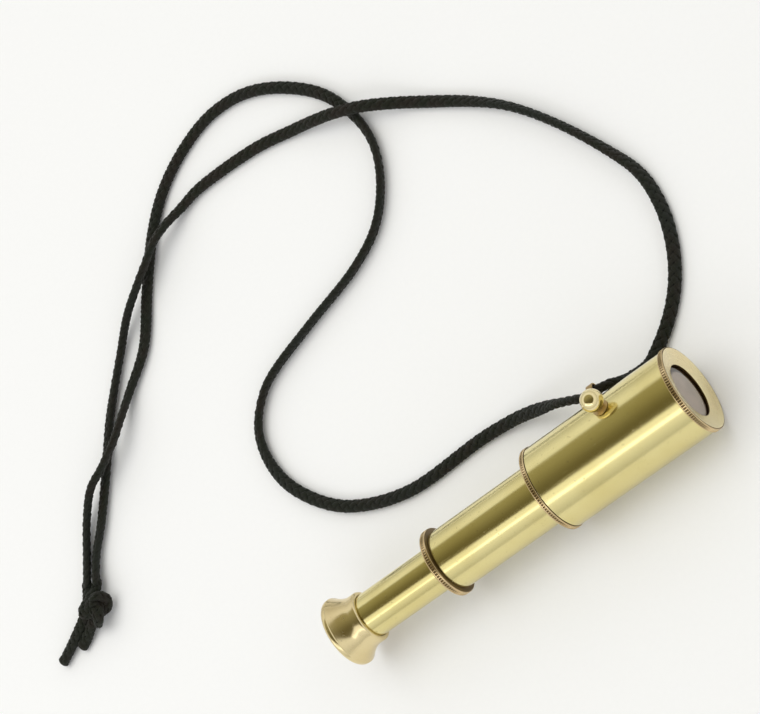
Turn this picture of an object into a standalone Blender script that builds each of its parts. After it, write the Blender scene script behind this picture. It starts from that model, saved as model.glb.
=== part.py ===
"""Miniature three-section brass spyglass on a braided neck cord.

The barrel holds the objective lens behind a dished bezel. Two draw tubes slide
out of it towards the eye, and the eyepiece cup sits on the smaller one. An eye
soldered to the barrel's back, behind a ball stud, carries the neck cord, which
ends in a knot with two short tails. The spyglass lies drawn out along X, with the
objective end at +X and the lowest line of the bezel at Z = 0. Its axis is a little
in front of Y = 0, so that the origin is below the middle of the metal's own box.
"""

import math

import bpy
from mathutils import Vector
from mathutils.geometry import interpolate_bezier

for old_object in list(bpy.data.objects):
    bpy.data.objects.remove(old_object, do_unlink=True)

# ---------------------------------------------------------------- driving sizes (metres)

OPEN_LENGTH = 0.1000
BARREL_RADIUS = 0.0100
BARREL_WALL = 0.0008
BEZEL_RADIUS = 0.0103
REAR_COLLAR_RADIUS = 0.0102
LARGE_DRAW_RADIUS = 0.0072
LARGE_DRAW_WALL = 0.0005
LARGE_COLLAR_RADIUS = 0.0083
SMALL_DRAW_RADIUS = 0.0052
SMALL_DRAW_WALL = 0.00045
RIM_RADIUS = 0.00835
NECK_RADIUS = 0.0062
CORD_RADIUS = 0.00125

RUNNING_GAP = 0.00008
FIXED_GAP = 0.0001
CORD_GAP = 0.0003
SIDES = 48
BEAD_SIDES = 24

# Stations along X, from the eye end to the objective end.
EYE_END = -OPEN_LENGTH / 2
FRONT_END = OPEN_LENGTH / 2
CUP_FRONT = EYE_END + 0.0081
LARGE_COLLAR_REAR = CUP_FRONT + 0.0218
LARGE_COLLAR_FRONT = LARGE_COLLAR_REAR + 0.0016
REAR_COLLAR_REAR = LARGE_COLLAR_FRONT + 0.0289
REAR_COLLAR_FRONT = REAR_COLLAR_REAR + 0.0012
BEZEL_REAR = FRONT_END - 0.0013
LUG_STATION = 0.0330

AXIS_HEIGHT = BEZEL_RADIUS
AXIS_SIDE = -0.0018
BARREL_BORE = BARREL_RADIUS - BARREL_WALL
LARGE_DRAW_BORE = LARGE_DRAW_RADIUS - LARGE_DRAW_WALL
SMALL_DRAW_BORE = SMALL_DRAW_RADIUS - SMALL_DRAW_WALL

# ---------------------------------------------------------------- collections and axes

parts = bpy.data.collections.new("pocket_spyglass")
cutters = bpy.data.collections.new("cutters")
for collection in (parts, cutters):
    bpy.context.scene.collection.children.link(collection)


def axis_empty(name, parent=None):
    """An empty on the optical axis whose local Z is the world's +X."""
    empty = bpy.data.objects.new(name, None)
    parts.objects.link(empty)
    if parent is None:
        empty.location = (0.0, AXIS_SIDE, AXIS_HEIGHT)
        empty.rotation_euler = (0.0, math.radians(90), 0.0)
    else:
        empty.parent = parent
    return empty


barrel_axis = axis_empty("barrel_axis")
large_draw_axis = axis_empty("large_draw_axis", barrel_axis)
small_draw_axis = axis_empty("small_draw_axis", large_draw_axis)

# ---------------------------------------------------------------- materials


def plain_material(name, color, roughness, metallic, transmission=0.0):
    material = bpy.data.materials.new(name)
    material.use_nodes = True
    shader = material.node_tree.nodes["Principled BSDF"]
    shader.inputs["Base Color"].default_value = (*color, 1.0)
    shader.inputs["Roughness"].default_value = roughness
    shader.inputs["Metallic"].default_value = metallic
    shader.inputs["Transmission Weight"].default_value = transmission
    material.diffuse_color = (*color, 1.0)
    return material


polished_brass = plain_material("polished_brass", (0.72, 0.62, 0.30), 0.18, 1.0)
turned_brass = plain_material("turned_brass", (0.66, 0.52, 0.29), 0.30, 1.0)
bright_brass = plain_material("bright_brass", (0.76, 0.63, 0.30), 0.15, 1.0)
optical_glass = plain_material("optical_glass", (0.86, 0.84, 0.88), 0.03, 0.0, 1.0)
blackened_brass = plain_material("blackened_brass", (0.03, 0.03, 0.03), 0.60, 0.6)
braided_cord = plain_material("braided_cord", (0.014, 0.015, 0.010), 0.85, 0.0)

# ---------------------------------------------------------------- ways of making a piece


def turned(name, profile, material, axis, sides=SIDES, collection=parts):
    """Turn an outline of (radius, station) points about the axis of an empty.

    The outline runs down the outer side from the front to the rear and back up
    the inner side. It is a closed loop, or ends on the axis for a solid piece.
    """
    closed = profile[0][0] > 0.0
    points = [(radius, 0.0, station) for radius, station in profile]
    edges = [(i, i + 1) for i in range(len(points) - 1)]
    if closed:
        edges.append((len(points) - 1, 0))
    mesh = bpy.data.meshes.new(name)
    mesh.from_pydata(points, edges, [])
    piece = bpy.data.objects.new(name, mesh)
    collection.objects.link(piece)
    piece.parent = axis
    mesh.materials.append(material)
    screw = piece.modifiers.new("turn", "SCREW")
    screw.axis = "Z"
    screw.steps = sides
    screw.render_steps = sides
    screw.use_merge_vertices = True
    screw.merge_threshold = 0.00001
    screw.use_smooth_shade = True
    return piece


def sleeve(name, outer, bore, rear, front, material, axis):
    """A plain ring or tube between two stations."""
    profile = [(outer, front), (outer, rear), (bore, rear), (bore, front)]
    return turned(name, profile, material, axis)


def arc(center, radius, start, end, steps):
    """Points of an arc in the (radius, station) plane, with angles in degrees."""
    angles = [math.radians(start + (end - start) * i / steps) for i in range(steps + 1)]
    return [(center[0] + radius * math.cos(a), center[1] + radius * math.sin(a)) for a in angles]


def lens_face(edge_radius, edge_station, sag, steps):
    """A spherical lens face from its edge to the axis; a positive sag bulges forwards."""
    points = []
    for i in range(steps + 1):
        radius = edge_radius * (1 - i / steps)
        points.append((radius, edge_station + sag * (1 - (radius / edge_radius) ** 2)))
    return points


def carve(piece, cutter):
    """Cut one piece with another, which is kept as a hidden cutter."""
    cutter.hide_render = True
    cutter.display_type = "WIRE"
    boolean = piece.modifiers.new("carve", "BOOLEAN")
    boolean.operation = "DIFFERENCE"
    boolean.solver = "EXACT"
    boolean.object = cutter


def smooth_route(route, count):
    """Evenly spaced points on a smooth curve through a route's own points."""
    knots = [Vector(point) for point in route]
    fine = []
    for i in range(len(knots) - 1):
        before = knots[max(i - 1, 0)]
        after = knots[min(i + 2, len(knots) - 1)]
        start, end = knots[i], knots[i + 1]
        handle_out = start + (end - before) / 6
        handle_in = end - (after - start) / 6
        fine += interpolate_bezier(start, handle_out, handle_in, end, 12)[:-1]
    fine.append(knots[-1])
    reach = [0.0]
    for a, b in zip(fine, fine[1:]):
        reach.append(reach[-1] + (b - a).length)
    even = []
    segment = 0
    for i in range(count):
        target = reach[-1] * i / (count - 1)
        while segment < len(fine) - 2 and reach[segment + 1] < target:
            segment += 1
        share = (target - reach[segment]) / (reach[segment + 1] - reach[segment])
        even.append(fine[segment].lerp(fine[segment + 1], share))
    return even


def cord_tube(name, route, count, straight_start=False):
    """A stretch of cord: a POLY curve with a round bevel and closed ends.

    Its route is given from the spyglass's own plane, Y = AXIS_SIDE.
    """
    curve = bpy.data.curves.new(name, "CURVE")
    curve.dimensions = "3D"
    curve.bevel_depth = CORD_RADIUS
    curve.bevel_resolution = 2
    curve.use_fill_caps = True
    spline = curve.splines.new("POLY")
    if straight_start:
        points = [Vector(route[0])] + smooth_route(route[1:], count - 1)
    else:
        points = smooth_route(route, count)
    spline.points.add(count - 1)
    for spline_point, point in zip(spline.points, points):
        spline_point.co = (*point, 1.0)
    curve.materials.append(braided_cord)
    tube = bpy.data.objects.new(name, curve)
    tube.location.y = AXIS_SIDE
    parts.objects.link(tube)
    return tube


# ---------------------------------------------------------------- barrel and objective

sleeve("barrel_tube", BARREL_RADIUS, BARREL_BORE, REAR_COLLAR_FRONT + FIXED_GAP,
       BEZEL_REAR - FIXED_GAP, polished_brass, barrel_axis)

# The rear collar plugs the barrel's eye end and guides the large draw tube.
COLLAR_SLEEVE = 0.0026
rear_collar_bore = LARGE_DRAW_RADIUS + RUNNING_GAP
rear_collar_plug = BARREL_BORE - FIXED_GAP
turned("barrel_rear_collar", [
    (rear_collar_bore, REAR_COLLAR_FRONT + COLLAR_SLEEVE),
    (rear_collar_plug, REAR_COLLAR_FRONT + COLLAR_SLEEVE),
    (rear_collar_plug, REAR_COLLAR_FRONT),
    (REAR_COLLAR_RADIUS, REAR_COLLAR_FRONT),
    (REAR_COLLAR_RADIUS, REAR_COLLAR_REAR + 0.0002),
    (REAR_COLLAR_RADIUS - 0.0003, REAR_COLLAR_REAR),
    (rear_collar_bore, REAR_COLLAR_REAR),
], turned_brass, barrel_axis)

# The bezel screws into the front of the barrel; its face is dished down to the window.
WINDOW_RADIUS = 0.00635
WINDOW_DEPTH = 0.0009
LIP_THICKNESS = 0.0005
LIP_SLOPE = 0.0002
BEZEL_SLEEVE = 0.0014
bezel_plug = BARREL_BORE - FIXED_GAP
bezel_sleeve_bore = bezel_plug - 0.0008
window_front = FRONT_END - WINDOW_DEPTH
turned("objective_bezel", [
    (0.00960, FRONT_END),
    (0.01005, FRONT_END),
    (BEZEL_RADIUS, FRONT_END - LIP_SLOPE),
    (BEZEL_RADIUS, BEZEL_REAR),
    (bezel_plug, BEZEL_REAR),
    (bezel_plug, BEZEL_REAR - BEZEL_SLEEVE),
    (bezel_sleeve_bore, BEZEL_REAR - BEZEL_SLEEVE),
    (bezel_sleeve_bore, window_front - LIP_THICKNESS - LIP_SLOPE),
    (WINDOW_RADIUS, window_front - LIP_THICKNESS),
    (WINDOW_RADIUS, window_front),
], turned_brass, barrel_axis)

# A biconvex objective lens sits in the bezel's sleeve, clamped by a seat ring behind it.
LENS_EDGE = 0.0010
lens_front = window_front - LIP_THICKNESS - LIP_SLOPE - FIXED_GAP
lens_rear = lens_front - LENS_EDGE
lens_radius = bezel_sleeve_bore - FIXED_GAP
front_face = lens_face(lens_radius, lens_front, 0.0006, 6)
rear_face = lens_face(lens_radius, lens_rear, -0.0004, 4)
turned("objective_lens", front_face[::-1] + rear_face, optical_glass, barrel_axis)

SEAT_LENGTH = 0.0010
seat_front = lens_rear - FIXED_GAP
sleeve("objective_lens_seat", BARREL_BORE - FIXED_GAP, 0.0076, seat_front - SEAT_LENGTH,
       seat_front, blackened_brass, barrel_axis)

# ---------------------------------------------------------------- large draw tube

large_stop_rear = REAR_COLLAR_FRONT + COLLAR_SLEEVE + 0.0002
large_tube_front = large_stop_rear + 0.0018
sleeve("large_draw_tube", LARGE_DRAW_RADIUS, LARGE_DRAW_BORE,
       LARGE_COLLAR_FRONT + FIXED_GAP, large_tube_front, polished_brass, large_draw_axis)

sleeve("large_draw_stop_ring", BARREL_BORE - RUNNING_GAP, LARGE_DRAW_RADIUS + FIXED_GAP,
       large_stop_rear, large_tube_front, turned_brass, large_draw_axis)

# The collar plugs the tube's eye end and guides the small draw tube.
large_collar_bore = SMALL_DRAW_RADIUS + RUNNING_GAP
large_collar_plug = LARGE_DRAW_BORE - FIXED_GAP
turned("large_draw_collar", [
    (large_collar_bore, LARGE_COLLAR_FRONT + COLLAR_SLEEVE),
    (large_collar_plug, LARGE_COLLAR_FRONT + COLLAR_SLEEVE),
    (large_collar_plug, LARGE_COLLAR_FRONT),
    (LARGE_COLLAR_RADIUS - 0.0003, LARGE_COLLAR_FRONT),
    (LARGE_COLLAR_RADIUS, LARGE_COLLAR_FRONT - 0.0003),
    (LARGE_COLLAR_RADIUS, LARGE_COLLAR_REAR + 0.0003),
    (LARGE_COLLAR_RADIUS - 0.0003, LARGE_COLLAR_REAR),
    (large_collar_bore, LARGE_COLLAR_REAR),
], turned_brass, large_draw_axis)

# A blackened ring in the tube's front end keeps stray light off the eyepiece.
BAFFLE_HOLE = 0.0046
sleeve("large_draw_baffle", LARGE_DRAW_BORE - FIXED_GAP, BAFFLE_HOLE,
       large_tube_front - 0.0012, large_tube_front - 0.0004, blackened_brass, large_draw_axis)

# ---------------------------------------------------------------- small draw tube

TUBE_SOCKET = 0.0036
small_stop_rear = LARGE_COLLAR_FRONT + COLLAR_SLEEVE + 0.0002
small_tube_front = small_stop_rear + 0.0018
small_tube_rear = CUP_FRONT - TUBE_SOCKET + FIXED_GAP
sleeve("small_draw_tube", SMALL_DRAW_RADIUS, SMALL_DRAW_BORE, small_tube_rear,
       small_tube_front, polished_brass, small_draw_axis)

sleeve("small_draw_stop_ring", LARGE_DRAW_BORE - RUNNING_GAP, SMALL_DRAW_RADIUS + FIXED_GAP,
       small_stop_rear, small_tube_front, turned_brass, small_draw_axis)

# ---------------------------------------------------------------- eyepiece

# The cup flares from its neck to a rolled rim. Its pocket, open to the eye side,
# holds the concave eye lens under a threaded ring.
POCKET_RADIUS = 0.0046
POCKET_DEPTH = 0.0041
EYE_DISH_DEPTH = 0.0014
LIP_LENGTH = 0.0016
FLARE_LENGTH = 0.0045
socket_end = CUP_FRONT - TUBE_SOCKET
pocket_front = EYE_END + POCKET_DEPTH
dish_front = EYE_END + EYE_DISH_DEPTH
flare_rear = EYE_END + LIP_LENGTH
flare_front = flare_rear + FLARE_LENGTH
full_swell = 1 - math.cos(math.radians(75))
flare = []
for step in range(7):
    share = step / 6
    swell = 1 - math.cos(math.radians(75) * share)
    radius = NECK_RADIUS + (RIM_RADIUS - 0.0001 - NECK_RADIUS) * swell / full_swell
    flare.append((radius, flare_front + (flare_rear - flare_front) * share))
turned("eyepiece_cup", [
    (SMALL_DRAW_RADIUS + FIXED_GAP, CUP_FRONT),
    (NECK_RADIUS - 0.0004, CUP_FRONT),
    (NECK_RADIUS, CUP_FRONT - 0.0005),
    *flare,
    (RIM_RADIUS, flare_rear - 0.0001),
    *arc((RIM_RADIUS - 0.0009, EYE_END + 0.0009), 0.0009, 0, -90, 4),
    (POCKET_RADIUS + 0.0010, EYE_END),
    (POCKET_RADIUS, dish_front),
    (POCKET_RADIUS, pocket_front),
    (0.0038, pocket_front),
    (0.0038, socket_end),
    (SMALL_DRAW_RADIUS + FIXED_GAP, socket_end),
], turned_brass, small_draw_axis)

EYE_LENS_EDGE = 0.0014
eye_lens_front = pocket_front - FIXED_GAP
eye_lens_rear = eye_lens_front - EYE_LENS_EDGE
eye_lens_radius = POCKET_RADIUS - FIXED_GAP
hollow_face = lens_face(0.0036, eye_lens_rear, 0.0007, 4)
turned("eyepiece_lens", [
    (0.0, eye_lens_front),
    (eye_lens_radius, eye_lens_front),
    (eye_lens_radius, eye_lens_rear),
    *hollow_face,
], optical_glass, small_draw_axis)

RING_LENGTH = 0.0009
ring_front = eye_lens_rear - FIXED_GAP
turned("eyepiece_lens_ring", [
    (eye_lens_radius, ring_front),
    (eye_lens_radius, ring_front - RING_LENGTH),
    (0.0037, ring_front - RING_LENGTH),
    (0.0032, ring_front),
], blackened_brass, small_draw_axis)

# ---------------------------------------------------------------- stud and cord eye

# A brass ball stands on a small foot, soldered to the barrel's back.
LUG_TILT = math.radians(27)
LUG_REACH = 0.0130
BEAD_RADIUS = 0.00255
lug_out = Vector((0.0, math.sin(LUG_TILT), math.cos(LUG_TILT)))
bead_center = Vector((LUG_STATION, AXIS_SIDE, AXIS_HEIGHT)) + LUG_REACH * lug_out

bead_axis = axis_empty("bead_axis")
bead_axis.location = bead_center
turned("lug_bead", [
    (0.0, BEAD_RADIUS),
    *arc((0.0, 0.0), BEAD_RADIUS, 80, -80, 16),
    (0.0, -BEAD_RADIUS),
], bright_brass, bead_axis, BEAD_SIDES)

FOOT_RADIUS = 0.0019
FOOT_NECK = 0.0013
foot_low = BARREL_RADIUS - 0.0003
foot_high = BARREL_RADIUS + 0.0014
foot_axis = bpy.data.objects.new("foot_axis", None)
parts.objects.link(foot_axis)
foot_axis.location = (LUG_STATION, AXIS_SIDE, AXIS_HEIGHT)
foot_axis.rotation_euler = (-LUG_TILT, 0.0, 0.0)
foot = turned("lug_foot", [
    (0.0, foot_high),
    (FOOT_NECK, foot_high),
    (FOOT_NECK, BARREL_RADIUS + 0.0006),
    (FOOT_RADIUS, BARREL_RADIUS + 0.0003),
    (FOOT_RADIUS, foot_low),
    (0.0, foot_low),
], bright_brass, foot_axis, BEAD_SIDES)
clear_of_barrel = BARREL_RADIUS + FIXED_GAP
barrel_cutter = turned("barrel_cutter", [
    (0.0, LUG_STATION + 0.005),
    (clear_of_barrel, LUG_STATION + 0.005),
    (clear_of_barrel, LUG_STATION - 0.005),
    (0.0, LUG_STATION - 0.005),
], bright_brass, barrel_axis, SIDES, cutters)
bead_cutter = turned("bead_cutter", arc((0.0, 0.0), BEAD_RADIUS + FIXED_GAP, 90, -90, 12),
                     bright_brass, bead_axis, BEAD_SIDES, cutters)
carve(foot, barrel_cutter)
carve(foot, bead_cutter)

# Behind the stud a short tube is soldered along the barrel: the eye that the cord runs through.
EYE_TILT = math.radians(85)
EYE_WALL = 0.00035
EYE_HALF_LENGTH = 0.0008
EYE_STATION = LUG_STATION - 0.0030
eye_bore = CORD_RADIUS + CORD_GAP
eye_reach = BARREL_RADIUS + FIXED_GAP + eye_bore + EYE_WALL
eye_y = eye_reach * math.sin(EYE_TILT)
eye_z = AXIS_HEIGHT + eye_reach * math.cos(EYE_TILT)
eye_axis = axis_empty("eye_axis")
eye_axis.location = (EYE_STATION, AXIS_SIDE + eye_y, eye_z)
sleeve("cord_eye", eye_bore + EYE_WALL, eye_bore, -EYE_HALF_LENGTH, EYE_HALF_LENGTH,
       bright_brass, eye_axis)

# ---------------------------------------------------------------- neck cord

# One cord passes through the eye. Its left strand leaves towards the eyepiece and its
# right strand runs down behind the barrel; both lie on the table up to the knot.
LAID = 0.00135
CROSSING = LAID + 2 * CORD_RADIUS + 1.5 * CORD_GAP
LEFT_ROUTE = [
    (EYE_STATION - CORD_GAP / 2, eye_y, eye_z),
    (0.0287, eye_y, eye_z),
    (0.0265, 0.0127, 0.0112),
    (0.0232, 0.0144, 0.0101),
    (0.0198, 0.0163, 0.0084),
    (0.0160, 0.0182, 0.0064),
    (0.0105, 0.0206, 0.0039),
    (0.0048, 0.0223, 0.0021),
    (-0.0045, 0.0233, LAID),
    (-0.0195, 0.0229, LAID),
    (-0.0277, 0.0239, LAID),
    (-0.0356, 0.0265, LAID),
    (-0.0429, 0.0306, LAID),
    (-0.0491, 0.0368, LAID),
    (-0.0536, 0.0441, LAID),
    (-0.0554, 0.0520, LAID),
    (-0.0544, 0.0591, LAID),
    (-0.0502, 0.0650, LAID),
    (-0.0440, 0.0689, LAID),
    (-0.0300, 0.0731, LAID),
    (-0.0135, 0.0777, LAID),
    (-0.0031, 0.0841, LAID),
    (0.0033, 0.0952, LAID),
    (0.0040, 0.1065, LAID),
    (-0.0010, 0.1192, LAID),
    (-0.0100, 0.1288, LAID),
    (-0.0205, 0.1350, LAID),
    (-0.0315, 0.1366, LAID),
    (-0.0421, 0.1340, LAID),
    (-0.0520, 0.1285, LAID),
    (-0.0600, 0.1203, LAID),
    (-0.0675, 0.1088, LAID),
    (-0.0745, 0.0968, LAID),
    (-0.0828, 0.0892, 0.0016),
    (-0.0872, 0.0836, 0.0032),
    (-0.0911, 0.0790, CROSSING),
    (-0.0968, 0.0753, CROSSING),
    (-0.1023, 0.0723, CROSSING),
    (-0.1082, 0.0672, 0.0021),
    (-0.1125, 0.0596, 0.0015),
    (-0.1153, 0.0522, 0.0023),
]
RIGHT_ROUTE = [
    (EYE_STATION + CORD_GAP / 2, eye_y, eye_z),
    (0.0313, eye_y, eye_z),
    (0.0332, 0.0120, 0.0104),
    (0.0351, 0.0121, 0.0084),
    (0.0370, 0.0123, 0.0060),
    (0.0393, 0.0131, 0.0036),
    (0.0418, 0.0147, 0.0020),
    (0.0481, 0.0197, LAID),
    (0.0535, 0.0258, LAID),
    (0.0573, 0.0335, LAID),
    (0.0593, 0.0425, LAID),
    (0.0588, 0.0520, LAID),
    (0.0550, 0.0612, LAID),
    (0.0474, 0.0745, LAID),
    (0.0393, 0.0856, LAID),
    (0.0306, 0.0939, LAID),
    (0.0190, 0.1024, 0.0017),
    (0.0120, 0.1067, 0.0033),
    (0.0062, 0.1098, CROSSING),
    (0.0002, 0.1126, CROSSING),
    (-0.0056, 0.1151, 0.0033),
    (-0.0130, 0.1180, 0.0016),
    (-0.0250, 0.1210, LAID),
    (-0.0413, 0.1222, LAID),
    (-0.0495, 0.1207, 0.0018),
    (-0.0540, 0.1186, 0.0037),
    (-0.0586, 0.1165, CROSSING),
    (-0.0627, 0.1134, CROSSING),
    (-0.0675, 0.1097, CROSSING),
    (-0.0743, 0.1054, 0.0030),
    (-0.0810, 0.0994, 0.0014),
    (-0.0868, 0.0925, LAID),
    (-0.0918, 0.0860, LAID),
    (-0.0967, 0.0781, LAID),
    (-0.1010, 0.0712, LAID),
    (-0.1055, 0.0643, LAID),
    (-0.1099, 0.0582, 0.0015),
    (-0.1126, 0.0512, 0.0023),
]
cord_tube("cord_left_strand", LEFT_ROUTE, 76, straight_start=True)
cord_tube("cord_right_strand", RIGHT_ROUTE, 64, straight_start=True)

# The knot, and the two tails that leave it side by side.
KNOT_CENTER = (-0.1154, 0.0476, 0.0033)
KNOT_RADII = (0.0040, 0.0034, 0.0032)
KNOT_TURN = math.radians(60)
TAIL_DIRECTION = Vector((-0.895, -0.445, 0.0))
TAIL_SIDE = Vector((0.445, -0.895, 0.0)) * (CORD_RADIUS + CORD_GAP / 2)
TAIL_START = 0.0042
TAIL_LENGTHS = {"cord_left_tail": (-1, 0.0128), "cord_right_tail": (1, 0.0065)}

bpy.ops.mesh.primitive_uv_sphere_add(segments=20, ring_count=12, radius=1.0,
                                     location=KNOT_CENTER, rotation=(0.0, 0.0, KNOT_TURN))
knot = bpy.context.object
knot.name = "cord_knot"
knot.location.y += AXIS_SIDE
knot.scale = KNOT_RADII
knot.data.materials.append(braided_cord)
knot.data.shade_smooth()
for holder in list(knot.users_collection):
    holder.objects.unlink(knot)
parts.objects.link(knot)

for tail_name, (side, tail_length) in TAIL_LENGTHS.items():
    base = Vector(KNOT_CENTER) + side * TAIL_SIDE
    tail_route = []
    for share, height in ((0.0, 0.0024), (0.35, 0.0016), (0.7, LAID), (1.0, LAID)):
        spot = base + TAIL_DIRECTION * (TAIL_START + tail_length * share)
        tail_route.append((spot.x, spot.y, height))
    cord_tube(tail_name, tail_route, 6)
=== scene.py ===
import math

import bpy
from mathutils import Matrix, Vector
from mathutils.geometry import interpolate_bezier


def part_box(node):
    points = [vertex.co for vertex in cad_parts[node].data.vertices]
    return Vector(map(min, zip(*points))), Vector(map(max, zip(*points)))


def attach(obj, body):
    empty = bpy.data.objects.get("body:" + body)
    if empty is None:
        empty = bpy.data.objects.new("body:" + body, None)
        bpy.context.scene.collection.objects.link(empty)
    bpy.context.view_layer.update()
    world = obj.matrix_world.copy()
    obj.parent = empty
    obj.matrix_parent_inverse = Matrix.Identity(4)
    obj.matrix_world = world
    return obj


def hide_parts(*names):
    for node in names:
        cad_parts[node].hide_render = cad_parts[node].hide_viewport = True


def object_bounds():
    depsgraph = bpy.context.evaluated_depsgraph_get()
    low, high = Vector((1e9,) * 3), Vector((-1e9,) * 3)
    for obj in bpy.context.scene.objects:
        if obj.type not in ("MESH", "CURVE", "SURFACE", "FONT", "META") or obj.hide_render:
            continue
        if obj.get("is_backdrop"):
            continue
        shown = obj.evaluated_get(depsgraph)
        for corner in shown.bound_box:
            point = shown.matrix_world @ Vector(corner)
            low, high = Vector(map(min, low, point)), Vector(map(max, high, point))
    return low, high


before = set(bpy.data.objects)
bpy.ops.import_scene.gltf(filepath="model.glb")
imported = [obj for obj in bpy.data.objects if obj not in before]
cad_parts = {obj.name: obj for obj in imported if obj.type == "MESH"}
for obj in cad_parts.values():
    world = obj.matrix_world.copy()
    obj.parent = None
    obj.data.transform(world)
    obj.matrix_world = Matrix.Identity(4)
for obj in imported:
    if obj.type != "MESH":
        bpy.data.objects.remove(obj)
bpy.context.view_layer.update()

# ---------------------------------------------------------------- camera
# A long lens looks down on the eyepiece side of the drawn-out spyglass. The frame is
# rolled, so that the barrel points up to the right and the whole cord is in view.

bpy.ops.object.camera_add(
    location=(0.24012, -0.22223, 0.51952),
    rotation=(math.radians(11.249), math.radians(34.481), math.radians(-27.564)),
)
camera = bpy.context.object
camera.name = "product_camera"
camera.data.lens = 132.6
camera.data.sensor_width = 36.0
camera.data.dof.use_dof = False
bpy.context.scene.camera = camera

# ---------------------------------------------------------------- neck cord
# A black polyester cord, eight yarns plaited over and under each other round a soft
# core and pressed flat in use. It runs through the eye on the barrel's back; both
# strands turn slowly on themselves as they lie on the table, and end in the knot.

CORD_WIDE = 0.0032
CORD_THICK = 0.0022
PLAIT_PITCH = 0.0096
YARN_WIDE = 0.00128
YARN_THICK = 0.00056
YARN_WAVE = 0.00020
RINGS_TO_A_PITCH = 22
LAID = 0.00135
CROSSING = 0.0043
axis_height = 0.0103
axis_side = -0.0018
EYE_REACH = 0.0120
HALF_CORD_GAP = 0.00015
eye_tilt = math.radians(85)
eye_x = 0.0300
eye_y = EYE_REACH * math.sin(eye_tilt)
eye_z = axis_height + EYE_REACH * math.cos(eye_tilt)

# Both routes are given from the spyglass's own plane, Y = axis_side.
left_route = [
    (eye_x - HALF_CORD_GAP, eye_y, eye_z),
    (0.0287, eye_y, eye_z),
    (0.0265, 0.0127, 0.0112),
    (0.0232, 0.0144, 0.0101),
    (0.0198, 0.0163, 0.0084),
    (0.0160, 0.0182, 0.0064),
    (0.0105, 0.0206, 0.0039),
    (0.0048, 0.0223, 0.0021),
    (-0.0045, 0.0233, LAID),
    (-0.0195, 0.0229, LAID),
    (-0.0277, 0.0239, LAID),
    (-0.0356, 0.0265, LAID),
    (-0.0429, 0.0306, LAID),
    (-0.0491, 0.0368, LAID),
    (-0.0536, 0.0441, LAID),
    (-0.0554, 0.0520, LAID),
    (-0.0544, 0.0591, LAID),
    (-0.0502, 0.0650, LAID),
    (-0.0440, 0.0689, LAID),
    (-0.0300, 0.0731, LAID),
    (-0.0135, 0.0777, LAID),
    (-0.0031, 0.0841, LAID),
    (0.0033, 0.0952, LAID),
    (0.0040, 0.1065, LAID),
    (-0.0010, 0.1192, LAID),
    (-0.0100, 0.1288, LAID),
    (-0.0205, 0.1350, LAID),
    (-0.0315, 0.1366, LAID),
    (-0.0421, 0.1340, LAID),
    (-0.0520, 0.1285, LAID),
    (-0.0600, 0.1203, LAID),
    (-0.0675, 0.1088, LAID),
    (-0.0745, 0.0968, LAID),
    (-0.0828, 0.0892, 0.0016),
    (-0.0872, 0.0836, 0.0032),
    (-0.0911, 0.0790, CROSSING),
    (-0.0968, 0.0753, CROSSING),
    (-0.1023, 0.0723, CROSSING),
    (-0.1082, 0.0672, 0.0021),
    (-0.1125, 0.0596, 0.0015),
    (-0.1153, 0.0522, 0.0023),
]
right_route = [
    (eye_x + HALF_CORD_GAP, eye_y, eye_z),
    (0.0313, eye_y, eye_z),
    (0.0332, 0.0120, 0.0104),
    (0.0351, 0.0121, 0.0084),
    (0.0370, 0.0123, 0.0060),
    (0.0393, 0.0131, 0.0036),
    (0.0418, 0.0147, 0.0020),
    (0.0481, 0.0197, LAID),
    (0.0535, 0.0258, LAID),
    (0.0573, 0.0335, LAID),
    (0.0593, 0.0425, LAID),
    (0.0588, 0.0520, LAID),
    (0.0550, 0.0612, LAID),
    (0.0474, 0.0745, LAID),
    (0.0393, 0.0856, LAID),
    (0.0306, 0.0939, LAID),
    (0.0190, 0.1024, 0.0017),
    (0.0120, 0.1067, 0.0033),
    (0.0062, 0.1098, CROSSING),
    (0.0002, 0.1126, CROSSING),
    (-0.0056, 0.1151, 0.0033),
    (-0.0130, 0.1180, 0.0016),
    (-0.0250, 0.1210, LAID),
    (-0.0413, 0.1222, LAID),
    (-0.0495, 0.1207, 0.0018),
    (-0.0540, 0.1186, 0.0037),
    (-0.0586, 0.1165, CROSSING),
    (-0.0627, 0.1134, CROSSING),
    (-0.0675, 0.1097, CROSSING),
    (-0.0743, 0.1054, 0.0030),
    (-0.0810, 0.0994, 0.0014),
    (-0.0868, 0.0925, LAID),
    (-0.0918, 0.0860, LAID),
    (-0.0967, 0.0781, LAID),
    (-0.1010, 0.0712, LAID),
    (-0.1055, 0.0643, LAID),
    (-0.1099, 0.0582, 0.0015),
    (-0.1126, 0.0512, 0.0023),
]
# Where each strand stands on edge or lies flat: (share of its length, degrees).
left_roll = [(0.0, 0), (0.10, 0), (0.22, 10), (0.36, -70), (0.47, -70), (0.62, 0), (0.80, 0),
             (0.92, 60), (1.0, 40)]
right_roll = [(0.0, 0), (0.12, 20), (0.30, 80), (0.42, 10), (0.60, 0), (0.78, 60), (0.90, 20), (1.0, 50)]


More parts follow.
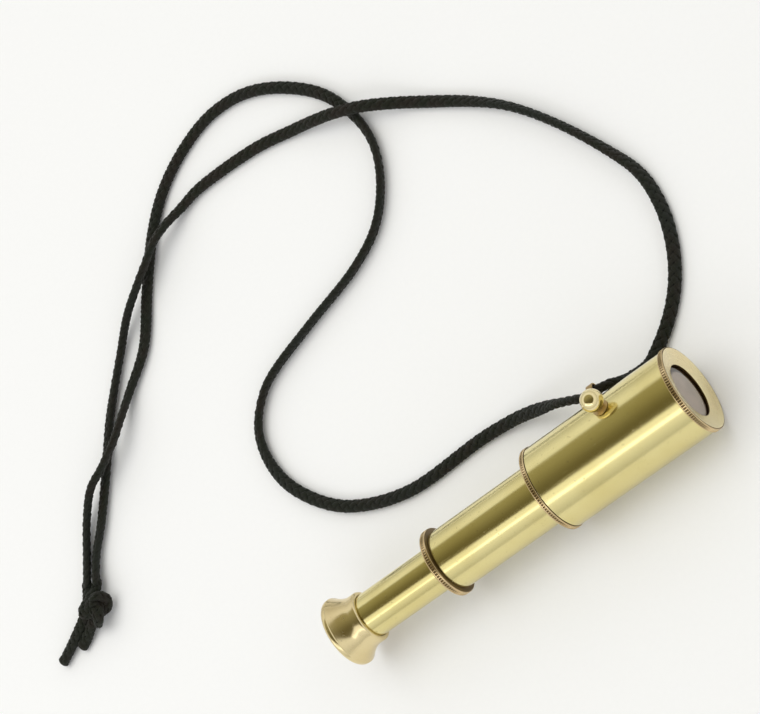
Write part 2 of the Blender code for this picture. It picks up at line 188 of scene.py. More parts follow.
def walk(route, step):
    """Even points, about a step apart, on a smooth curve through a route's own points."""
    knots = [Vector(point) for point in route]
    fine = []
    for i in range(len(knots) - 1):
        before = knots[max(i - 1, 0)]
        after = knots[min(i + 2, len(knots) - 1)]
        start, end = knots[i], knots[i + 1]
        handle_out = start + (end - before) / 6
        handle_in = end - (after - start) / 6
        fine += interpolate_bezier(start, handle_out, handle_in, end, 24)[:-1]
    fine.append(knots[-1])
    reach = [0.0]
    for a, b in zip(fine, fine[1:]):
        reach.append(reach[-1] + (b - a).length)
    count = max(4, round(reach[-1] / step))
    even = []
    segment = 0
    for i in range(count + 1):
        target = reach[-1] * i / count
        while segment < len(fine) - 2 and reach[segment + 1] < target:
            segment += 1
        share = (target - reach[segment]) / (reach[segment + 1] - reach[segment])
        even.append(fine[segment].lerp(fine[segment + 1], share))
    return even


def between(table, share):
    """The value at a share of the length, eased between the entries of a table."""
    for (a, low), (b, high) in zip(table, table[1:]):
        if share <= b:
            t = (share - a) / (b - a)
            return low + (high - low) * t * t * (3 - 2 * t)
    return table[-1][1]


def cord_frames(line, roll):
    """For each point of a cord's line: its broad direction and its thin direction."""
    frames = []
    for i, point in enumerate(line):
        ahead = (line[min(i + 1, len(line) - 1)] - line[max(i - 1, 0)]).normalized()
        off_barrel = Vector((0.0, point.y - axis_side, point.z - axis_height)).normalized()
        lifted = min(1.0, max(0.0, (point.z - 0.0045) / 0.006))
        if point.x < -0.02:
            lifted = 0.0
        out = Vector((0, 0, 1)).lerp(off_barrel, lifted)
        thin = (out - ahead * out.dot(ahead)).normalized()
        broad = ahead.cross(thin)
        turn = math.radians(between(roll, i / (len(line) - 1)))
        frames.append((broad * math.cos(turn) - thin * math.sin(turn),
                       thin * math.cos(turn) + broad * math.sin(turn)))
    return frames


def plait(name, line, roll, size=1.0, shift=0.0):
    """Eight yarns of elliptic section, four each way, plaited along a line."""
    frames = cord_frames(line, roll)
    half_wide = (CORD_WIDE / 2 - YARN_THICK / 2 - YARN_WAVE) * size
    half_thick = (CORD_THICK / 2 - YARN_THICK / 2 - YARN_WAVE) * size
    points = []
    faces = []
    around = []
    corners = 8
    for yarn in range(8):
        way = 1 if yarn < 4 else -1
        center = []
        outward = []
        for i, point in enumerate(line):
            broad, thin = frames[i]
            phase = 2 * math.pi * (i / RINGS_TO_A_PITCH + shift)
            angle = way * phase + yarn * math.pi / 2
            wave = way * YARN_WAVE * size * math.cos(4 * phase)
            across, up = math.cos(angle), math.sin(angle)
            center.append(point + broad * (half_wide + wave) * across + thin * (half_thick + wave) * up)
            outward.append((broad * across / half_wide + thin * up / half_thick).normalized())
        first = len(points)
        run = 0.0
        for i, middle in enumerate(center):
            ahead = (center[min(i + 1, len(center) - 1)] - center[max(i - 1, 0)]).normalized()
            side = ahead.cross(outward[i]).normalized()
            rise = side.cross(ahead)
            if i:
                run += (middle - center[i - 1]).length
            for corner in range(corners):
                turn = 2 * math.pi * corner / corners
                points.append(middle + side * (YARN_WIDE / 2 * size * math.cos(turn))
                              + rise * (YARN_THICK / 2 * size * math.sin(turn)))
                around.append((corner / corners, run))
        last = first + (len(center) - 1) * corners
        for ring in range(first, last, corners):
            for corner in range(corners):
                after = (corner + 1) % corners
                faces.append((ring + corner, ring + after, ring + corners + after, ring + corners + corner))
        faces.append(tuple(range(first + corners - 1, first - 1, -1)))
        faces.append(tuple(range(last, last + corners)))
    mesh = bpy.data.meshes.new(name)
    mesh.from_pydata(points, [], faces)
    lay = mesh.uv_layers.new(name="yarn_lay")
    for face in mesh.polygons:
        closing = any(around[mesh.loops[k].vertex_index][0] > 0.8 for k in face.loop_indices)
        for k in face.loop_indices:
            u, v = around[mesh.loops[k].vertex_index]
            if closing and u < 0.2:
                u = 1.0
            lay.data[k].uv = (u, v * 1000)
    piece = bpy.data.objects.new(name, mesh)
    bpy.context.scene.collection.objects.link(piece)
    bpy.ops.object.select_all(action="DESELECT")
    piece.select_set(True)
    bpy.context.view_layer.objects.active = piece
    bpy.ops.object.mode_set(mode="EDIT")
    bpy.ops.mesh.select_all(action="SELECT")
    bpy.ops.mesh.normals_make_consistent(inside=False)
    bpy.ops.object.mode_set(mode="OBJECT")
    bpy.ops.object.shade_smooth()
    return piece


def settle(line, roll):
    """Let the laid stretches of a line rest on the table at the height of their section."""
    rested = []
    for i, point in enumerate(line):
        turn = math.radians(between(roll, i / (len(line) - 1)))
        half = math.hypot(CORD_WIDE / 2 * math.sin(turn), CORD_THICK / 2 * math.cos(turn))
        ease = min(1.0, max(0.0, (0.012 - point.z) / 0.008))
        rested.append(point + Vector((0, 0, (half + 0.00008 - LAID) * ease)))
    return rested


class Wire:
    """One shader socket. Sums on it add Math nodes to its material."""

    def __init__(self, tree, socket=None):
        self.tree = tree
        self.socket = socket

    def node(self, kind, settings, sockets, output=0):
        """Add any node: its settings first, then the values or links of its sockets."""
        made = self.tree.nodes.new(kind)
        for key, value in settings.items():
            setattr(made, key, value)
        for key, value in sockets.items():
            if isinstance(value, Wire):
                self.tree.links.new(value.socket, made.inputs[key])
            else:
                made.inputs[key].default_value = value
        return Wire(self.tree, made.outputs[output])

    def sum(self, operation, first, second):
        return self.node("ShaderNodeMath", {"operation": operation}, {0: first, 1: second})

    def __add__(self, other):
        return self.sum("ADD", self, other)

    __radd__ = __add__

    def __sub__(self, other):
        return self.sum("SUBTRACT", self, other)

    def __rsub__(self, other):
        return self.sum("SUBTRACT", other, self)

    def __mul__(self, other):
        return self.sum("MULTIPLY", self, other)

    __rmul__ = __mul__

    def __pow__(self, other):
        return self.sum("POWER", self, other)

    def step(self, low, high):
        """0 below low, 1 above high, eased between."""
        return self.node("ShaderNodeMapRange", {"interpolation_type": "SMOOTHSTEP"},
                         {"Value": self, "From Min": low, "From Max": high})

    def blend(self, first, second):
        """Mix two colours by this factor."""
        return self.node("ShaderNodeMix", {"data_type": "RGBA"},
                         {0: self, 6: first, 7: second}, 2)


def new_finish(name, sockets):
    """A material with its constant sockets set, and a wire to build its maths from."""
    material = bpy.data.materials.new(name)
    material.use_nodes = True
    shader = material.node_tree.nodes["Principled BSDF"]
    for key, value in sockets.items():
        shader.inputs[key].default_value = value
    return material, shader, Wire(material.node_tree)


def feed(shader, key, wire):
    wire.tree.links.new(wire.socket, shader.inputs[key])


cord_finish, cord_shader, tree = new_finish("black_polyester", {
    "Metallic": 0.0, "Sheen Weight": 0.04, "Sheen Roughness": 0.5, "Specular IOR Level": 0.28})
lay = tree.node("ShaderNodeUVMap", {"uv_map": "yarn_lay"}, {})
lay_u = tree.node("ShaderNodeSeparateXYZ", {}, {0: lay}, 0)
lay_v = tree.node("ShaderNodeSeparateXYZ", {}, {0: lay}, 1)
place = tree.node("ShaderNodeTexCoord", {}, {}, 3)
filament_place = tree.node("ShaderNodeCombineXYZ", {}, {0: lay_u * 34.0 + lay_v * 1.6, 1: lay_v * 0.9})
filaments = tree.node("ShaderNodeTexNoise", {}, {
    "Vector": filament_place, "Scale": 1.0, "Detail": 3.0, "Roughness": 0.6})
dye = tree.node("ShaderNodeTexNoise", {}, {"Vector": place, "Scale": 260.0, "Detail": 2.0})
fade = tree.node("ShaderNodeTexNoise", {}, {"Vector": place, "Scale": 38.0, "Detail": 3.0})
warm_black = dye.step(0.35, 0.7).blend((0.007, 0.009, 0.004, 1), (0.012, 0.009, 0.006, 1))
cord_color = fade.step(0.4, 0.75).blend(warm_black, (0.009, 0.012, 0.009, 1))
worn = filaments.step(0.55, 0.85) * 0.6
feed(cord_shader, "Base Color", worn.blend(cord_color, (0.024, 0.025, 0.018, 1)))
feed(cord_shader, "Roughness", 0.52 + filaments * 0.22)
feed(cord_shader, "Normal", tree.node("ShaderNodeBump", {}, {
    "Strength": 0.55, "Distance": 0.00006, "Height": filaments}))

ring_gap = PLAIT_PITCH / RINGS_TO_A_PITCH
left_line = settle(walk([(x, y + axis_side, z) for x, y, z in left_route], ring_gap), left_roll)
right_line = settle(walk([(x, y + axis_side, z) for x, y, z in right_route], ring_gap), right_roll)
left_strand = plait("neck_cord_left", left_line, left_roll)
right_strand = plait("neck_cord_right", right_line, right_roll)

# ---------------------------------------------------------------- knot and tails
# Both strands are tied together in one overhand knot and pulled tight. The two tails
# leave it side by side, and their cut ends are melted so that the plait can't open.

KNOT_CENTER = Vector((-0.1154, 0.0476 + axis_side, 0.0033))
knot_ahead = Vector((-0.683, -0.731, 0.0)).normalized()
knot_left = Vector((-knot_ahead.y, knot_ahead.x, 0.0))
LOOP_UNIT = 0.00088
MELTED_LENGTH = 0.0009
TAIL_MOVE = Vector((0.0010, -0.0006, 0.0))
KNOT_MOVE = Vector((0.0006, -0.0012, 0.0005))
TAIL_DIRECTION = Vector((-0.895, -0.445, 0.0))
TAIL_SIDE = Vector((0.445, -0.895, 0.0)) * 0.0014


def knot_route(side, strand_end, strand_ahead, tail_start):
    """One strand's way through the knot, beside the other."""
    route = [strand_end - strand_ahead * 0.0012, strand_end + strand_ahead * 0.0004]
    for i in range(1, 16):
        t = math.pi + 2 * math.pi * i / 16
        ahead = math.sin(t) + 2 * math.sin(2 * t)
        across = math.cos(t) - 2 * math.cos(2 * t)
        swell = 1.0 + side * 0.36
        route.append(KNOT_CENTER + KNOT_MOVE + knot_ahead * (ahead * LOOP_UNIT * swell)
                     + knot_left * ((across * swell + 0.9) * LOOP_UNIT)
                     + Vector((0, 0, -math.sin(3 * t) * LOOP_UNIT * 1.35)))
    route += [tail_start, tail_start + TAIL_DIRECTION * 0.0012]
    return route


tails = []
knot_runs = []
for name, node, side, length, line in (("left", "cord_left_tail", -1, 0.0128, left_line),
                                       ("right", "cord_right_tail", 1, 0.0065, right_line)):
    base = KNOT_CENTER + TAIL_MOVE + side * TAIL_SIDE
    tail_route = []
    for share, height in ((-0.15, 0.0026), (0.0, 0.0024), (0.35, 0.0018), (0.7, LAID), (1.0, 0.0012)):
        spot = base + TAIL_DIRECTION * (0.0042 + length * share)
        tail_route.append((spot.x, spot.y, height))
    tail_line = walk(tail_route, ring_gap)
    tail = plait(f"cord_tail_{name}", tail_line, [(0.0, 10 * side), (1.0, -10 * side)], 1.0, 0.13 * side)
    bpy.ops.mesh.primitive_uv_sphere_add(
        segments=20, ring_count=12, radius=1.0, location=tail_line[-1],
        rotation=(0.0, 0.0, math.atan2(TAIL_DIRECTION.y, TAIL_DIRECTION.x)))
    melted_end = bpy.context.object
    melted_end.scale = (MELTED_LENGTH, CORD_WIDE * 0.49, CORD_THICK * 0.49)
    bpy.ops.object.transform_apply(location=True, rotation=True, scale=True)
    bpy.ops.object.shade_smooth()
    melted_end.data.uv_layers[0].name = "yarn_lay"
    tail.select_set(True)
    bpy.context.view_layer.objects.active = tail
    bpy.ops.object.join()
    tails.append(tail)
    ahead = (line[-1] - line[-2]).normalized()
    run = walk(knot_route(side, line[-1], ahead, Vector(tail_route[1])), ring_gap)
    knot_runs.append(plait(f"knot_run_{name}", run, [(0.0, 0), (0.5, 40), (1.0, 0)], 0.92, 0.2))
knot_tie = knot_runs[0]
bpy.ops.object.select_all(action="DESELECT")
for run in knot_runs:
    run.select_set(True)
bpy.context.view_layer.objects.active = knot_tie
bpy.ops.object.join()
knot_tie.name = "cord_knot_tie"

for piece in [left_strand, right_strand, knot_tie, *tails]:
    piece.data.materials.append(cord_finish)
    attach(piece, "barrel")
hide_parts("cord_left_strand")
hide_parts("cord_right_strand")
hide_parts("cord_knot")
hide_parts("cord_left_tail")
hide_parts("cord_right_tail")

# ---------------------------------------------------------------- barrel
# The widest of three brass tubes, drawn without a seam, polished along its length and
# lacquered. The rear collar is pressed into its eye end and the bezel into its front.

BARREL_RADIUS = 0.0100
BARREL_BORE = 0.0092


def turn(name, outline, columns, middle_y=axis_side, middle_z=axis_height):
    """Spin an outline of (station, radius) points about a line along X.

    A closed outline makes a ring. One that starts and ends on the line makes a solid.
    """
    bpy.ops.object.select_all(action="DESELECT")
    bpy.ops.mesh.primitive_plane_add(size=0.001, location=(outline[0][0], middle_y, middle_z + outline[0][1]))
    piece = bpy.context.object
    piece.name = name
    bpy.ops.object.transform_apply(location=True, rotation=False, scale=False)
    bpy.ops.object.mode_set(mode="EDIT")
    bpy.ops.mesh.select_mode(type="VERT")
    bpy.ops.mesh.select_all(action="SELECT")
    bpy.ops.mesh.merge(type="CENTER")
    path = list(outline)
    if outline[0][1] > 0.0:
        path.append(outline[0])
    for (station, radius), (next_station, next_radius) in zip(path, path[1:]):
        move = (next_station - station, 0.0, next_radius - radius)
        bpy.ops.mesh.extrude_vertices_move(TRANSFORM_OT_translate={"value": move})
    bpy.ops.mesh.select_all(action="SELECT")
    bpy.ops.mesh.remove_doubles(threshold=0.000001)
    bpy.ops.mesh.select_all(action="SELECT")
    bpy.ops.mesh.spin(steps=columns, angle=2 * math.pi, center=(0.0, middle_y, middle_z), axis=(1, 0, 0))
    bpy.ops.mesh.select_all(action="SELECT")
    bpy.ops.mesh.remove_doubles(threshold=0.000001)
    bpy.ops.mesh.select_all(action="SELECT")
    bpy.ops.mesh.normals_make_consistent(inside=False)
    bpy.ops.object.mode_set(mode="OBJECT")
    return piece


def ease_edges(piece, width):
    """Round the sharp edges a little, as a polishing wheel leaves them."""
    bevel = piece.modifiers.new("eased_edges", "BEVEL")
    bevel.width = width
    bevel.segments = 3
    bevel.limit_method = "ANGLE"
    bevel.angle_limit = math.radians(28)
    bpy.ops.object.modifier_apply(modifier=bevel.name)


def smooth(piece, crease=35):
    """Smooth shading that leans on the broad faces and keeps real creases."""
    bpy.ops.object.shade_smooth_by_angle(angle=math.radians(crease))
    leaning = piece.modifiers.new("broad_faces", "WEIGHTED_NORMAL")
    leaning.keep_sharp = True
    bpy.ops.object.modifier_apply(modifier=leaning.name)


def brass(name, fresh, aged, gloss, lay, grooves=None):
    """Brass under old lacquer. Its marks run along a drawn tube, or round a turned piece."""
    material, shader, tree = new_finish(name, {"Metallic": 1.0})
    place = tree.node("ShaderNodeTexCoord", {}, {}, 3)
    x = tree.node("ShaderNodeSeparateXYZ", {}, {0: place}, 0)
    y = tree.node("ShaderNodeSeparateXYZ", {}, {0: place}, 1) - axis_side
    rise = tree.node("ShaderNodeSeparateXYZ", {}, {0: place}, 2) - axis_height
    radius = (y * y + rise * rise) ** 0.5
    if lay == "drawn":
        mark_place = tree.node("ShaderNodeCombineXYZ", {}, {0: x * 25.0, 1: y * 1500.0, 2: rise * 1500.0})
    else:
        mark_place = tree.node("ShaderNodeCombineXYZ", {}, {0: x * 5200.0, 1: radius * 5200.0})
    marks = tree.node("ShaderNodeTexNoise", {}, {"Vector": mark_place, "Scale": 1.0, "Detail": 3.0})
    cloud = tree.node("ShaderNodeTexNoise", {}, {"Vector": place, "Scale": 75.0, "Detail": 4.0})
    scratch_place = tree.node("ShaderNodeMapping", {}, {
        "Vector": place, "Rotation": (0.5, 0.3, 0.8), "Scale": (120.0, 2600.0, 700.0)})
    scratches = tree.node("ShaderNodeTexNoise", {}, {
        "Vector": scratch_place, "Scale": 1.0, "Detail": 2.0}).step(0.66, 0.72)
    specks = tree.node("ShaderNodeTexNoise", {}, {
        "Vector": place, "Scale": 1100.0, "Detail": 1.0}).step(0.70, 0.76)
    tint = cloud.step(0.36, 0.68) * 0.7 + marks * 0.3
    color = tint.blend(fresh, aged)
    color = (specks * 0.2).blend(color, (0.30, 0.20, 0.08, 1))
    dull = specks * 0.1
    if grooves is not None:
        low, high = grooves
        sunk = 1 - radius.step(low, high)
        color = (sunk * 0.85).blend(color, (0.09, 0.055, 0.02, 1))
        dull = dull + sunk * 0.2
    feed(shader, "Base Color", color)
    feed(shader, "Roughness", gloss + marks * 0.07 + cloud * 0.06 + scratches * 0.08 + dull)
    relief = tree.node("ShaderNodeBump", {}, {
        "Strength": 0.35, "Distance": 0.0000016, "Height": marks - scratches * 0.8 - specks})
    feed(shader, "Normal", relief)
    return material


tube_brass = brass("polished_tube_brass", (0.77, 0.68, 0.33, 1), (0.70, 0.60, 0.26, 1), 0.10, "drawn")
bezel_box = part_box("objective_bezel")
barrel_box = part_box("barrel_tube")
barrel_tube = turn("barrel_tube_shell", [
    (barrel_box[1][0], BARREL_RADIUS),
    (barrel_box[0][0], BARREL_RADIUS),
    (barrel_box[0][0], BARREL_BORE),
    (barrel_box[1][0], BARREL_BORE),
], 192)
ease_edges(barrel_tube, 0.00008)
smooth(barrel_tube)
barrel_tube.data.materials.append(tube_brass)
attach(barrel_tube, "barrel")
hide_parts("barrel_tube")

# ---------------------------------------------------------------- draw tubes
# Two more drawn brass tubes, one inside the other. Each slides in a fitted collar, so
# they are polished the same way and keep fine marks along their length.

for body, node, outer, bore in (("large_draw", "large_draw_tube", 0.0072, 0.0067),
                                ("small_draw", "small_draw_tube", 0.0052, 0.00475)):
    low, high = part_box(node)
    draw_tube = turn(f"{node}_shell", [
        (high[0], outer), (low[0], outer), (low[0], bore), (high[0], bore)], 160)
    ease_edges(draw_tube, 0.00006)
    smooth(draw_tube)
    draw_tube.data.materials.append(tube_brass)
    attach(draw_tube, body)
    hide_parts(node)

# ---------------------------------------------------------------- guide collars
# Two turned brass collars. A plug holds each one in its tube's eye end, and the round
# flange outside is knurled along its middle, for the fingers that draw the tubes out.

GROOVE_DEPTH = 0.00018


def knurl(piece, rear, front, radius, columns):
    """Press straight grooves into a band: two columns of its points in every four move inwards."""
    bpy.ops.object.mode_set(mode="EDIT")
    bpy.ops.mesh.select_mode(type="VERT")
    bpy.ops.mesh.select_all(action="DESELECT")
    bpy.ops.object.mode_set(mode="OBJECT")
    for point in piece.data.vertices:
        aside = point.co.y - axis_side
        rise = point.co.z - axis_height
        column = round(math.atan2(aside, rise) / (2 * math.pi) * columns)
        outside = math.hypot(aside, rise) > radius - 0.00001
        point.select = outside and rear < point.co.x < front and column % 4 < 2
    bpy.ops.object.mode_set(mode="EDIT")
    inwards = 1 - GROOVE_DEPTH / radius
    bpy.ops.transform.resize(value=(1.0, inwards, inwards), center_override=(0.0, axis_side, axis_height))
    bpy.ops.mesh.select_all(action="SELECT")
    bpy.ops.mesh.normals_make_consistent(inside=False)
    bpy.ops.object.mode_set(mode="OBJECT")


def flange(rear, front, radius, rounding, band_rear, band_front):
    """The outer outline of a flange from front to rear: rounded edges and a band to knurl."""
    points = []
    for i in range(5):
        turned_by = math.radians(90 * i / 4)
        points.append((front - rounding + rounding * math.cos(turned_by),
                       radius - rounding + rounding * math.sin(turned_by)))
    points += [(band_front, radius), (band_front - 0.00004, radius),
               (band_rear + 0.00004, radius), (band_rear, radius)]
    for i in range(5):
        turned_by = math.radians(90 * i / 4)
        points.append((rear + rounding - rounding * math.sin(turned_by),
                       radius - rounding + rounding * math.cos(turned_by)))
    return points


for body, node, radius, bore, plug, plug_front, rounding, columns in (
        ("barrel", "barrel_rear_collar", 0.0102, 0.00728, 0.0091, 0.0142, 0.00022, 420),
        ("large_draw", "large_draw_collar", 0.0083, 0.00528, 0.0066, -0.0159, 0.00034, 328)):
    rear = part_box(node)[0][0]
    front = plug_front - 0.0026
    band_rear = rear + rounding + 0.00012
    band_front = front - rounding - 0.00008
    collar = turn(f"{node}_turned", [
        (plug_front, bore),
        (plug_front, plug),
        (front, plug),
        *flange(rear, front, radius, rounding, band_rear, band_front),
        (rear, bore + 0.00025),
        (rear + 0.00025, bore),
    ], columns)
    knurl(collar, band_rear + 0.00002, band_front - 0.00002, radius, columns)
    smooth(collar, 30)
    collar.data.materials.append(brass(
        f"{node}_brass", (0.70, 0.54, 0.31, 1), (0.56, 0.41, 0.21, 1), 0.17, "turned",
        (radius - GROOVE_DEPTH, radius - 0.2 * GROOVE_DEPTH)))
    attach(collar, body)
    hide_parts(node)

# ---------------------------------------------------------------- objective bezel
# A turned brass ring that screws into the barrel. Its side is knurled, and its face is
# dished down in one polished cone to the window in front of the lens.

BEZEL_RADIUS = 0.0103
WINDOW_RADIUS = 0.00635
face = bezel_box[1][0]
side_rear = face - 0.0013
bezel_rear = bezel_box[0][0]
band_rear = side_rear + 0.00018
band_front = face - 0.00024
bezel = turn("objective_bezel_turned", [
    (face - 0.00006, 0.00950),
    (face, 0.00962),
    (face, 0.00998),
    (face - 0.00003, 0.01013),
    (face - 0.00010, 0.01024),
    (face - 0.00020, BEZEL_RADIUS),
    (band_front, BEZEL_RADIUS),
    (band_front - 0.00004, BEZEL_RADIUS),
    (band_rear + 0.00004, BEZEL_RADIUS),
    (band_rear, BEZEL_RADIUS),
    (side_rear + 0.00010, BEZEL_RADIUS),
    (side_rear + 0.00003, BEZEL_RADIUS - 0.00003),
    (side_rear, BEZEL_RADIUS - 0.00010),
    (side_rear, 0.0091),
    (bezel_rear, 0.0091),
    (bezel_rear, 0.0083),
    (face - 0.0016, 0.0083),
    (face - 0.0014, WINDOW_RADIUS + 0.00010),
    (face - 0.0013, WINDOW_RADIUS),
    (face - 0.00100, WINDOW_RADIUS),
    (face - 0.00091, WINDOW_RADIUS + 0.00004),
    (face - 0.00086, WINDOW_RADIUS + 0.00016),
    (face - 0.00070, 0.00700),
    (face - 0.00042, 0.00815),
    (face - 0.00016, 0.00920),
], 420)
knurl(bezel, band_rear + 0.00002, band_front - 0.00002, BEZEL_RADIUS, 420)
smooth(bezel, 30)
bezel.data.materials.append(brass(
    "objective_bezel_brass", (0.70, 0.55, 0.32, 1), (0.57, 0.42, 0.22, 1), 0.17, "turned",
    (BEZEL_RADIUS - GROOVE_DEPTH, BEZEL_RADIUS - 0.2 * GROOVE_DEPTH)))
# Only the side is knurled: the face keeps its own, plain finish.
bezel.data.materials.append(brass(
    "dished_face_brass", (0.88, 0.79, 0.48, 1), (0.82, 0.69, 0.42, 1), 0.20, "turned"))
# The short wall of the window is painted dark brown as shade, and shows as a rim round the glass.
bezel.data.materials.append(brass(
    "window_wall_painted_shade", (0.13, 0.075, 0.03, 1), (0.07, 0.04, 0.015, 1), 0.40, "turned"))
for side in bezel.data.polygons:
    radius = math.hypot(side.center.y - axis_side, side.center.z - axis_height)
    if side.center.x > face - 0.0014 and radius < 0.01005:
        side.material_index = 2 if radius < WINDOW_RADIUS + 0.00006 else 1
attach(bezel, "barrel")
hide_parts("objective_bezel")

# ---------------------------------------------------------------- lenses
# The objective is a biconvex crown glass, ground and bloomed, clamped behind the bezel.
# The eye lens is flat in front and hollow towards the eye.


def lens_face(edge_station, edge_radius, sag, steps):
    """A ground face from its edge to the axis; a positive sag stands forwards."""
    points = []
    for i in range(steps + 1):
        radius = edge_radius * (1 - i / steps)
        points.append((edge_station + sag * (1 - (radius / edge_radius) ** 2), radius))
    return points


lens_glass, glass_shader, tree = new_finish("bloomed_lens_glass", {
    "Transmission Weight": 0.45, "IOR": 1.52})
place = tree.node("ShaderNodeTexCoord", {}, {}, 3)
dust = tree.node("ShaderNodeTexNoise", {}, {"Vector": place, "Scale": 1500.0, "Detail": 2.0})
bloom = tree.node("ShaderNodeTexNoise", {}, {"Vector": place, "Scale": 140.0, "Detail": 2.0})
lens_color = bloom.step(0.3, 0.7).blend((0.58, 0.48, 0.40, 1), (0.49, 0.41, 0.34, 1))
# A dark crescent of painted shade at the far edge of the glass stands in for the blackened wall behind. It is
# fixed to the lens and does not move with the viewpoint.
aside = tree.node("ShaderNodeSeparateXYZ", {}, {0: place}, 1) - (axis_side - 0.0010)
rise = tree.node("ShaderNodeSeparateXYZ", {}, {0: place}, 2) - (axis_height + 0.0007)
painted_shade_crescent = ((aside * aside + rise * rise) ** 0.5).step(0.0054, 0.0060)
feed(glass_shader, "Base Color", painted_shade_crescent.blend(lens_color, (0.035, 0.018, 0.008, 1)))
feed(glass_shader, "Roughness", 0.015 + bloom * 0.02 + dust.step(0.68, 0.74) * 0.25)

low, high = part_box("objective_lens")
front_edge = high[0] - 0.0006
objective_lens = turn("objective_lens_ground",
                      lens_face(front_edge, 0.0082, 0.0006, 16)[::-1]
                      + lens_face(front_edge - 0.0010, 0.0082, -0.0004, 12), 128)
low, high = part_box("eyepiece_lens")
eyepiece_lens = turn("eyepiece_lens_ground",
                     [(high[0], 0.0), (high[0], 0.0045), (low[0], 0.0045)]
                     + lens_face(low[0], 0.0036, 0.0007, 10), 96)
for lens, body, node in ((objective_lens, "barrel", "objective_lens"),
                         (eyepiece_lens, "small_draw", "eyepiece_lens")):
    bpy.ops.object.select_all(action="DESELECT")
    lens.select_set(True)
    bpy.context.view_layer.objects.active = lens
    ease_edges(lens, 0.00006)
    smooth(lens, 40)
    lens.data.materials.append(lens_glass)
    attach(lens, body)
    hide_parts(node)

# ---------------------------------------------------------------- eyepiece cup
# Turned from solid brass bar: a short neck, a hollow flare like a trumpet's and a
# rounded lip. The small draw tube is soldered into it, and the eye lens sits behind.

EYE_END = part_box("eyepiece_cup")[0][0]
CUP_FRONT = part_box("eyepiece_cup")[1][0]
RIM_RADIUS = 0.00835
NECK_RADIUS = 0.0062
flare_rear = EYE_END + 0.0016
flare_front = flare_rear + 0.0045
cup_outline = [(CUP_FRONT, 0.0053), (CUP_FRONT, 0.00568), (CUP_FRONT - 0.00004, 0.00580),
               (CUP_FRONT - 0.00014, 0.00594), (CUP_FRONT - 0.00034, 0.00611),
               (CUP_FRONT - 0.00050, 0.00618), (CUP_FRONT - 0.00066, NECK_RADIUS)]
for i in range(25):
    share = i / 24
    swell = (1 - math.cos(math.radians(75) * share)) / (1 - math.cos(math.radians(75)))
    cup_outline.append((flare_front + (flare_rear - flare_front) * share,
                        NECK_RADIUS + (RIM_RADIUS - 0.00022 - NECK_RADIUS) * swell))
cup_outline += [(flare_rear - 0.00006, RIM_RADIUS - 0.00018), (flare_rear - 0.00012, RIM_RADIUS - 0.00006),
                (flare_rear - 0.00022, RIM_RADIUS)]
for i in range(13):
    turned_by = math.radians(90 * i / 12)
    cup_outline.append((EYE_END + 0.0009 - 0.0009 * math.sin(turned_by),
                        RIM_RADIUS - 0.0009 + 0.0009 * math.cos(turned_by)))
cup_outline += [(EYE_END, 0.00572), (EYE_END + 0.00003, 0.00560), (EYE_END + 0.00009, 0.00550),
                (EYE_END + 0.00132, 0.00468), (EYE_END + 0.00142, 0.0046), (EYE_END + 0.0041, 0.0046),
                (EYE_END + 0.0041, 0.0038), (EYE_END + 0.0045, 0.0038), (EYE_END + 0.0045, 0.0053)]
eyepiece_cup = turn("eyepiece_cup_turned", cup_outline, 192)
smooth(eyepiece_cup, 40)
eyepiece_cup.data.materials.append(brass(
    "eyepiece_cup_brass", (0.78, 0.66, 0.38, 1), (0.67, 0.53, 0.27, 1), 0.14, "turned"))
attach(eyepiece_cup, "small_draw")
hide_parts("eyepiece_cup")

# ---------------------------------------------------------------- stud and cord eye
# A polished brass ball on a small turned foot, soldered to the barrel's back. Behind it
# a short tube is soldered along the barrel: the neck cord's eye. The foot and the tube are painted dark brown
# as shade under the ball.

BEAD_RADIUS = 0.00255
low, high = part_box("lug_bead")
bead_middle = [(a + b) / 2 for a, b in zip(low, high)]
bead_outline = []
for i in range(49):
    turned_by = math.radians(90 - 180 * i / 48)
    bead_outline.append((bead_middle[0] + BEAD_RADIUS * math.sin(turned_by),
                         BEAD_RADIUS * max(0.0, math.cos(turned_by) - 1e-9)))
bead_outline[0] = (bead_middle[0] + BEAD_RADIUS, 0.0)
bead = turn("lug_bead_polished", bead_outline, 96, bead_middle[1], bead_middle[2])
smooth(bead, 60)
EYE_BORE = 0.00155
EYE_OUTER = 0.0019
low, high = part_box("cord_eye")
cord_eye = turn("cord_eye_soldered", [
    (high[0], EYE_OUTER), (low[0], EYE_OUTER), (low[0], EYE_BORE), (high[0], EYE_BORE),
], 72, (low[1] + high[1]) / 2, (low[2] + high[2]) / 2)
ease_edges(cord_eye, 0.00009)
smooth(cord_eye, 40)
stud_brass = brass("ball_stud_brass", (0.82, 0.71, 0.40, 1), (0.74, 0.60, 0.30, 1), 0.06, "turned")
# Painted shade: the ball's foot and the cord eye get a dark brown brass, standing in for the shade under the
# ball.
shaded_joint_brass = brass("painted_shade_joint_brass", (0.46, 0.33, 0.15, 1), (0.30, 0.20, 0.09, 1), 0.26, "turned")
for piece, node, finish in ((bead, "lug_bead", stud_brass), (cord_eye, "cord_eye", shaded_joint_brass)):
    piece.data.materials.append(finish)
    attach(piece, "barrel")
    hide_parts(node)
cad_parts["lug_foot"].data.materials.clear()
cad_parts["lug_foot"].data.materials.append(shaded_joint_brass)

# ---------------------------------------------------------------- inner rings
# Plain turned rings inside the tubes: two brass stop rings that keep the tubes from
# pulling out, and a lens seat, a light stop and a lens ring that are chemically blackened.

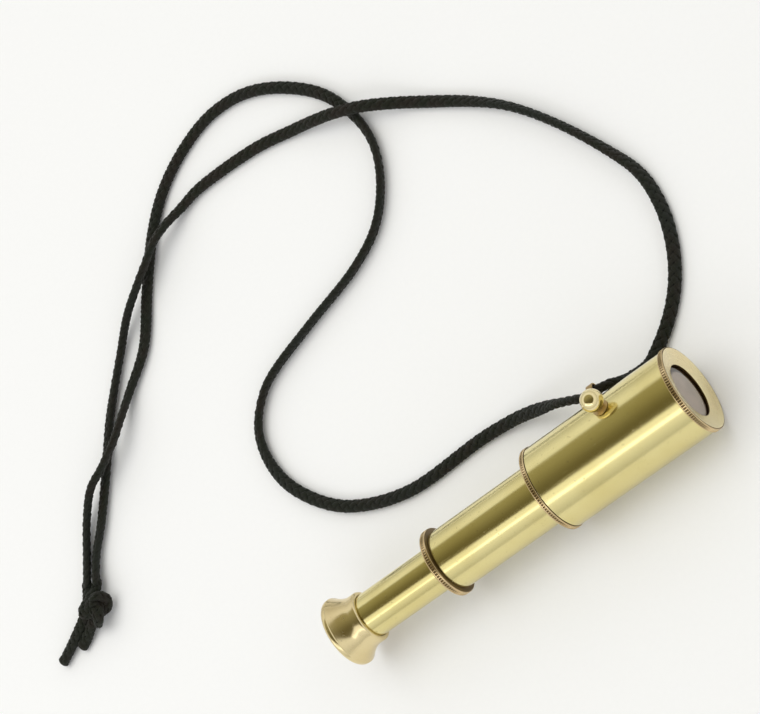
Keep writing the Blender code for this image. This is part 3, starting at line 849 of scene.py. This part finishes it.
stop_brass = brass("stop_ring_brass", (0.72, 0.59, 0.33, 1), (0.60, 0.46, 0.24, 1), 0.20, "turned")
blackened, black_shader, tree = new_finish("blackened_ring_brass", {"Metallic": 0.6})
place = tree.node("ShaderNodeTexCoord", {}, {}, 3)
patina = tree.node("ShaderNodeTexNoise", {}, {"Vector": place, "Scale": 420.0, "Detail": 3.0})
feed(black_shader, "Base Color", patina.step(0.4, 0.75).blend(
    (0.022, 0.020, 0.018, 1), (0.055, 0.042, 0.028, 1)))
feed(black_shader, "Roughness", 0.5 + patina * 0.2)
for node, finish in (("large_draw_stop_ring", stop_brass), ("small_draw_stop_ring", stop_brass),
                     ("objective_lens_seat", blackened), ("large_draw_baffle", blackened),
                     ("eyepiece_lens_ring", blackened)):
    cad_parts[node].data.materials.clear()
    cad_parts[node].data.materials.append(finish)

# ---------------------------------------------------------------- floor and light
# A pale sweep of card, a long softbox in front and a bright room low all round, with
# the ceiling above left dim so that polished metal shows dark bands between them.

bpy.ops.mesh.primitive_plane_add(size=1.0, location=(0.0, 0.0, 0.0))
floor = bpy.context.object
floor.name = "pale_floor"
floor.data.transform(Matrix.Scale(6.0, 4))
floor_finish, floor_shader, tree = new_finish("pale_card", {"Specular IOR Level": 0.1})
place = tree.node("ShaderNodeTexCoord", {}, {}, 3)
grain = tree.node("ShaderNodeTexNoise", {}, {"Vector": place, "Scale": 900.0, "Detail": 2.0})
feed(floor_shader, "Base Color", grain.blend((0.885, 0.895, 0.925, 1), (0.905, 0.915, 0.945, 1)))
feed(floor_shader, "Roughness", 0.85 + grain * 0.1)
floor.data.materials.append(floor_finish)
floor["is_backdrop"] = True

world = bpy.data.worlds.new("studio_room")
world.use_nodes = True
bpy.context.scene.world = world
tree = Wire(world.node_tree)
direction = tree.node("ShaderNodeTexCoord", {}, {}, 0)
height = tree.node("ShaderNodeSeparateXYZ", {}, {0: direction}, 2)
sideways = tree.node("ShaderNodeSeparateXYZ", {}, {0: direction}, 1)
walls = height.step(-0.1, 0.55).blend((0.62, 0.62, 0.60, 1), (0.98, 0.98, 0.97, 1))
ceiling = sideways.step(-0.35, 0.60).blend((0.14, 0.12, 0.055, 1), (0.38, 0.35, 0.20, 1))
room = height.step(0.64, 0.675).blend(walls, ceiling)
world_shader = world.node_tree.nodes["Background"]
feed(world_shader, "Color", room)


def softbox(name, place, aim, wide, tall, glow, reflects=True):
    """A soft area light of a given brightness, turned towards a point."""
    bpy.ops.object.light_add(type="AREA", location=place)
    lamp = bpy.context.object
    lamp.name = name
    lamp.data.shape = "RECTANGLE"
    lamp.data.size = wide
    lamp.data.size_y = tall
    lamp.data.energy = glow * math.pi * wide * tall
    lamp.rotation_euler = (Vector(aim) - Vector(place)).to_track_quat("-Z", "Y").to_euler()
    lamp.visible_camera = False
    lamp.visible_glossy = reflects
    return lamp


softbox("front_strip", (-0.40, -0.60, 0.74), (0.0, 0.0, 0.01), 1.4, 0.40, 1.05)
softbox("overhead_fill", (-0.2, 0.3, 1.4), (0.0, 0.05, 0.0), 1.6, 1.6, 1.6, reflects=False)

bpy.context.scene.view_settings.view_transform = "Standard"

low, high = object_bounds()
